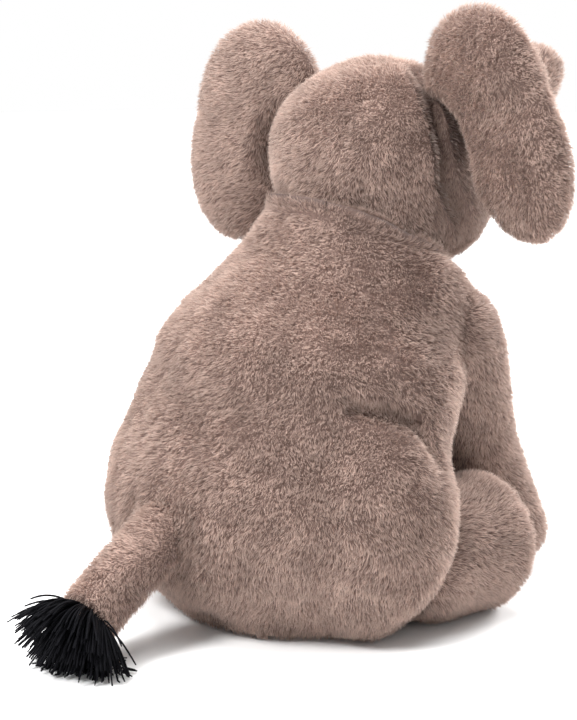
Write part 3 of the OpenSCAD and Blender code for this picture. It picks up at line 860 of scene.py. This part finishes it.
TRUNK_SIDES = 64
TRUNK_ROOT_WAY = unit(TRUNK_BEND - TRUNK_PIVOT)
TRUNK_ROOT_LENGTH = np.linalg.norm(TRUNK_BEND - TRUNK_PIVOT)
TRUNK_TIP_ANGLE = math.radians(52)
TRUNK_TIP_WAY = np.array([0, -math.cos(TRUNK_TIP_ANGLE), math.sin(TRUNK_TIP_ANGLE)])
trunk_root_outline = trunk_profile(radius_root=21.0, radius_bend=16.0, length=TRUNK_ROOT_LENGTH)
trunk_root_rings = revolve(trunk_root_outline, TRUNK_SIDES, TRUNK_PIVOT, TRUNK_ROOT_WAY)
trunk_root_rings = rolled(trunk_root_rings.reshape(-1, 3)).reshape(-1, TRUNK_SIDES, 3)
skin_and_pile("trunk_root", trunk_root_rings, "trunk_root", ["trunk_root_cover", "trunk_root_filling"],
              combed_along(ROLL_TURN @ TRUNK_ROOT_WAY), DENSE * 0.8, 300)
trunk_tip_outline = limb_profile(ball=16.2, neck=15.0, foot=14.0, length=60.0, edge=11.5)
trunk_tip_rings = revolve(trunk_tip_outline, TRUNK_SIDES, TRUNK_BEND, TRUNK_TIP_WAY)
trunk_tip_rings = rolled(trunk_tip_rings.reshape(-1, 3)).reshape(-1, TRUNK_SIDES, 3)
skin_and_pile("trunk_tip", trunk_tip_rings, "trunk_tip", ["trunk_tip_cover", "trunk_tip_filling"],
              combed_along(ROLL_TURN @ TRUNK_TIP_WAY), DENSE * 0.8, 320)

# ---- ears ----

for sign, side, between in ((1, "left", 33.0), (-1, "right", 30.0)):
    rings = ear_rings(between) * np.array([sign, 1, 1])
    if sign < 0:
        rings = rings[:, ::-1]
    rings = rolled(rings.reshape(-1, 3)).reshape(rings.shape)
    hinge = pivot_of(f"ear_{side}_flap")
    out_way = ROLL_TURN @ (EAR_OUT * np.array([sign, 1, 1]))
    skin_and_pile(f"ear_{side}", rings, None,
                  [f"ear_{side}_back_panel", f"ear_{side}_front_panel", f"ear_{side}_wadding"],
                  combed_ear(sign), DENSE, 400 + 20 * sign, length=3.8, lean=0.42,
                  blend=("head", f"ear_{side}", (hinge - 4 * out_way) * MM, (hinge + 12 * out_way) * MM))

# ---- arms and legs ----

SOLE_THICK = 2.0
ARM_LENGTH = np.linalg.norm(ARM_SOLE - ARM_PIVOT) - SOLE_THICK / 2
LEG_LENGTH = np.linalg.norm(LEG_SOLE - LEG_PIVOT) - SOLE_THICK / 2
ARM_OUTLINE = limb_profile(ball=26.5, neck=20.0, foot=22.8, length=ARM_LENGTH, edge=9.0)
LEG_OUTLINE = limb_profile(ball=30.0, neck=30.0, foot=31.0, length=LEG_LENGTH, edge=11.0)


def off_sole(pivot, way, length):
    """No pile under the sole, nor deep in the limb's root."""
    return lambda p, n: ((p - pivot) @ way < length - 1.2) & (np.linalg.norm(p - pivot, axis=1) > 14)


for sign, side in ((1, "left"), (-1, "right")):
    mirror = np.array([sign, 1, 1])
    pivot, way = ARM_PIVOT * mirror, ARM_WAY * mirror
    rings = revolve(ARM_OUTLINE, 90, pivot, way)
    skin_and_pile(f"arm_{side}", rings, f"arm_{side}", [f"arm_{side}_cover", f"arm_{side}_filling"],
                  combed_along(way), DENSE * 0.9, 500 + 20 * sign,
                  keep=off_sole(pivot, way, ARM_LENGTH))
    pivot, way = LEG_PIVOT * mirror, LEG_WAY * mirror
    rings = revolve(LEG_OUTLINE, 100, pivot, way)
    rings[..., 2] = np.maximum(rings[..., 2], FLOOR_GAP)
    skin_and_pile(f"leg_{side}", rings, f"leg_{side}", [f"leg_{side}_cover", f"leg_{side}_filling"],
                  combed_along(way + np.array([0, 0, -0.5])), DENSE * 0.9, 600 + 20 * sign,
                  keep=off_sole(pivot, way, LEG_LENGTH))


def sole(side, limb, radius, thickness):
    """A felt sole: a shallow domed disc, its height a round-shouldered curve of the radius."""
    node = f"{limb}_{side}_sole"
    mirror = np.array([1 if side == "left" else -1, 1, 1])
    way = (ARM_WAY if limb == "arm" else LEG_WAY) * mirror
    start = middle_of(node) - way * (thickness / 2 + 0.3)
    s = np.linspace(0, 1, 16)
    top = np.stack([radius * s, thickness * (1 - s ** 6) + 0.5 * (1 - s ** 2)], 1)
    outline = np.concatenate([[[0, -0.5]], [[radius, -0.5]], top[::-1]])
    points, triangles = closed_grid(revolve(outline, 64, start, way))
    obj = dress(make_mesh(f"{limb}_{side}_felt_sole", points, outward(points, triangles)), FELT)
    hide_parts(node)
    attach(obj, f"{limb}_{side}")


for side in ("left", "right"):
    sole(side, "arm", 12.2, SOLE_THICK)
    sole(side, "leg", 21.5, SOLE_THICK)

# ---- eyes ----

EYE_RADIUS = 5.0
EYE_HALF_DEPTH = 4.6
EYE_IN = 3.0  # how far the bead's middle is inside its node's far corner

for side in ("left", "right"):
    low, high = box_of("eye_" + side)
    away = unit((low + high) / 2 - rolled(SKULL_MIDDLE))
    a = np.linspace(0, math.pi, 26)
    outline = np.stack([EYE_RADIUS * np.sin(a), -EYE_HALF_DEPTH * np.cos(a)], 1)
    spot = rolled(SKULL_MIDDLE) + away * (np.linalg.norm(high - rolled(SKULL_MIDDLE)) - EYE_IN)
    points, triangles = closed_grid(revolve(outline, 48, spot, away))
    eye = dress(make_mesh(f"eye_bead_{side}", points, outward(points, triangles)), BEAD)
    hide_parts("eye_" + side)
    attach(eye, "head")

# ---- tail ----

TAIL_RADIUS = 15.0
TAIL_TAPER = 0.8
TAIL_DROOP = 5.0
DROOP_WAY = np.array([0, 0.2, 1.0])
t = np.linspace(0, 1, 30)
a = np.linspace(0, math.pi / 2, 10)[:-1]
tail_outline = np.concatenate([
    np.stack([TAIL_RADIUS * np.sin(a), -TAIL_RADIUS * np.cos(a)], 1),
    np.stack([TAIL_RADIUS - TAIL_TAPER * t, t * TAIL_LENGTH], 1),
    [[10.5, TAIL_LENGTH + 0.8], [0, TAIL_LENGTH + 1.0]],
])


def drooped(p):
    """The tail hangs a little more towards its end, by the square of the way along."""
    s = np.maximum((p - TAIL_PIVOT) @ TAIL_WAY, 0) / TAIL_LENGTH
    return p - TAIL_DROOP * (s ** 2)[..., None] * DROOP_WAY


skin_and_pile("tail", drooped(revolve(tail_outline, 60, TAIL_PIVOT, TAIL_WAY)), "tail",
              ["tail_cover", "tail_filling"],
              combed_along(TAIL_WAY), DENSE, 700, length=4.0, lean=0.6,
              keep=lambda p, n: (p - TAIL_PIVOT) @ TAIL_WAY > -6)


YARN_COUNT = 620
YARN_LENGTH = 20.5
YARN_RADIUS = 0.46
YARN_OPENING = math.radians(60)
YARN_DROOP = 6.0
YARN_SWAY = 4.5
TASSEL_MOUTH = 11.0  # radius of the tail's open end that the yarn fills


def yarn_burst(count=YARN_COUNT, steps=11, sides=5, seed=77):
    """The tassel: strands that leave the open end of the tail in every direction, curve down under
    their weight by the square of the way along, and lie on the floor; each is a thin tube."""
    r = np.random.default_rng(seed)
    way = unit(TAIL_WAY - TAIL_DROOP / TAIL_LENGTH * 2 * DROOP_WAY)
    side = unit(np.cross(way, [0, 0, 1.0]))
    up = np.cross(side, way)
    turn = r.uniform(0, 2 * math.pi, count)
    spread = np.sqrt(r.random(count))
    around = np.cos(turn)[:, None] * side + np.sin(turn)[:, None] * up
    start = drooped(TAIL_PIVOT + TAIL_WAY * TAIL_LENGTH)
    start = start - 1.5 * way + TASSEL_MOUTH * spread[:, None] * around
    opening = spread ** 1.2 * YARN_OPENING + r.normal(0, 0.2, count)
    go = np.cos(opening)[:, None] * way + np.sin(opening)[:, None] * around
    tall = YARN_LENGTH * (1 + r.normal(0, 0.1, count))
    s = np.linspace(0, 1, steps)
    sway = unit(r.normal(size=(count, 3)))
    line = start[:, None] + (tall[:, None] * s)[..., None] * go[:, None]
    line[..., 2] -= YARN_DROOP * s ** 2 * (1 + 0.5 * up @ [0, 0, 1.0])
    line += (YARN_SWAY * s ** 1.6)[None, :, None] * sway[:, None] * r.random(count)[:, None, None]
    low = 0.8 + 1.6 * r.random(count)[:, None]
    line[..., 2] = np.maximum(line[..., 2], low)
    radius = YARN_RADIUS * r.uniform(0.85, 1.15, count)[:, None] * (1 - 0.25 * s ** 8)
    along = unit(np.gradient(line, axis=1))
    first = unit(np.cross(along, [0.3, 0.2, 1.0]))
    second = np.cross(along, first)
    b = np.linspace(0, 2 * math.pi, sides, endpoint=False)
    ring = line[:, :, None] + radius[..., None, None] * (
        np.cos(b)[:, None] * first[:, :, None] + np.sin(b)[:, None] * second[:, :, None])
    verts = ring.reshape(count, steps * sides, 3)
    ends = np.stack([line[:, 0], line[:, -1] + along[:, -1] * 0.4], 1)
    verts = np.concatenate([verts, ends], 1).reshape(-1, 3)
    k = np.arange(sides)
    nxt = (k + 1) % sides
    rows = sides * np.arange(steps - 1)[:, None]
    p, q = rows + k, rows + nxt
    tube = np.concatenate([np.stack([p, q, q + sides], -1).reshape(-1, 3),
                           np.stack([p, q + sides, p + sides], -1).reshape(-1, 3)])
    cap = steps * sides
    lid = np.concatenate([np.stack([np.full(sides, cap), nxt, k], 1),
                          np.stack([np.full(sides, cap + 1), cap - sides + k, cap - sides + nxt], 1)])
    one = np.concatenate([tube, lid])
    every = (one[None] + (steps * sides + 2) * np.arange(count)[:, None, None]).reshape(-1, 3)
    return verts, every


verts, tris = yarn_burst()
tassel = dress(make_mesh("tail_yarn_tassel", verts, outward(verts, tris)), YARN)
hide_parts("tail_tassel", "tail_binding")
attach(tassel, "tail")

# ---- neck thread ----

THREAD_IN = 3.0  # the thread is pulled this far into the pile
THREAD_THICK = 0.75


def twisted_ring(middle, axis, radius, thick, turns=70, steps=420, sides=10):
    """Two plies of thread twisted into one ring: a tube whose section is a waisted oval that turns."""
    axis = unit(axis)
    east = unit(np.cross([1.0, 0, 0], axis))
    north = np.cross(axis, east)
    a = np.linspace(0, 2 * math.pi, steps, endpoint=False)[:, None]
    b = np.linspace(0, 2 * math.pi, sides, endpoint=False)[None]
    out = np.cos(a)[..., None] * east + np.sin(a)[..., None] * north
    r = thick * (1 + 0.25 * np.cos(2 * (b - turns * a / 2)))
    p = middle + radius * out + (r * np.cos(b))[..., None] * out + (r * np.sin(b))[..., None] * axis
    i, j = np.arange(steps)[:, None], np.arange(sides)[None]
    here, ahead = i * sides, (i + 1) % steps * sides
    beside = (j + 1) % sides
    quads = np.stack([here + j, ahead + j, ahead + beside, here + beside], -1).reshape(-1, 4)
    return p.reshape(-1, 3), quads


low, high = box_of("neck_thread")
points, quads = twisted_ring((low + high) / 2, NECK_UP, (high[0] - low[0]) / 2 - THREAD_IN, THREAD_THICK)
thread = dress(make_mesh("neck_gathering_thread", points, quads), THREAD)
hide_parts("neck_thread")
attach(thread, "neck")

# ---------------------------------------------------------------- floor, light and camera

FLOOR_RADIUS = 1.7  # metres
FLOOR_SIDES = 96
floor_mesh = bpy.data.meshes.new("studio_floor")
turns = [k * math.pi / (FLOOR_SIDES // 2) for k in range(FLOOR_SIDES)]
rim = [(FLOOR_RADIUS * math.cos(a), FLOOR_RADIUS * math.sin(a), 0) for a in turns]
floor_mesh.from_pydata(rim, [], [tuple(range(FLOOR_SIDES))])
floor = bpy.data.objects.new("studio_floor", floor_mesh)
bpy.context.scene.collection.objects.link(floor)
dress(floor, plain_material("pale_floor", (0.92, 0.92, 0.92), 0.5, 0.25))

CAMERA_TURN = math.radians(226)
CAMERA_RISE = math.radians(13)
# metres from the origin: back along the view, to the right of it, and up it
CAMERA_BACK = 1.2
CAMERA_RIGHT = -0.005275
CAMERA_UP = 0.10963
CAMERA_LENS = 130.8
back = Vector((math.sin(CAMERA_TURN) * math.cos(CAMERA_RISE),
               -math.cos(CAMERA_TURN) * math.cos(CAMERA_RISE), math.sin(CAMERA_RISE)))
right = Vector((math.cos(CAMERA_TURN), math.sin(CAMERA_TURN), 0))
up = back.cross(right)
camera_data = bpy.data.cameras.new("studio_camera")
camera = bpy.data.objects.new("studio_camera", camera_data)
bpy.context.scene.collection.objects.link(camera)
turn = Matrix((right, up, back)).transposed().to_4x4()
turn.translation = back * CAMERA_BACK + right * CAMERA_RIGHT + up * CAMERA_UP
camera.matrix_world = turn
camera_data.lens = CAMERA_LENS
camera_data.sensor_width = 36
camera_data.clip_end = 30
bpy.context.scene.camera = camera


def soft_light(name, place, aim, power, size):
    """A white disc of light; power is in watts and size in metres."""
    data = bpy.data.lights.new(name, "AREA")
    data.energy, data.shape, data.size = power, "DISK", size
    obj = bpy.data.objects.new(name, data)
    bpy.context.scene.collection.objects.link(obj)
    obj.location = place
    obj.rotation_euler = (Vector(aim) - Vector(place)).to_track_quat("-Z", "Y").to_euler()


# high on the camera's left, a broad overhead fill, and a low rim from beyond on the right
BODY_HEIGHT = (0, 0, 0.12)
soft_light("key_light", back * 1.2 - right * 1.3 + Vector((0, 0, 1.6)), BODY_HEIGHT, power=74, size=0.8)
soft_light("top_light", (0.0, 0.0, 2.2), (0, 0, 0), power=58, size=2.0)
soft_light("rim_light", -back * 1.0 + right * 1.2 + Vector((0, 0, 1.0)), BODY_HEIGHT, power=42, size=0.9)

# the world is white behind the floor and dimmer as a light
world = bpy.data.worlds.new("studio_world")
world.use_nodes = True
world.node_tree.nodes["Background"].inputs["Color"].default_value = (1, 1, 1, 1)
strength = world.node_tree.nodes.new("ShaderNodeMapRange")
strength.inputs["To Min"].default_value = 0.62
strength.inputs["To Max"].default_value = 1.0
seen = world.node_tree.nodes.new("ShaderNodeLightPath")
world.node_tree.links.new(seen.outputs["Is Camera Ray"], strength.inputs["Value"])
world.node_tree.links.new(strength.outputs["Result"], world.node_tree.nodes["Background"].inputs["Strength"])
bpy.context.scene.world = world
bpy.context.scene.view_settings.view_transform = "Standard"
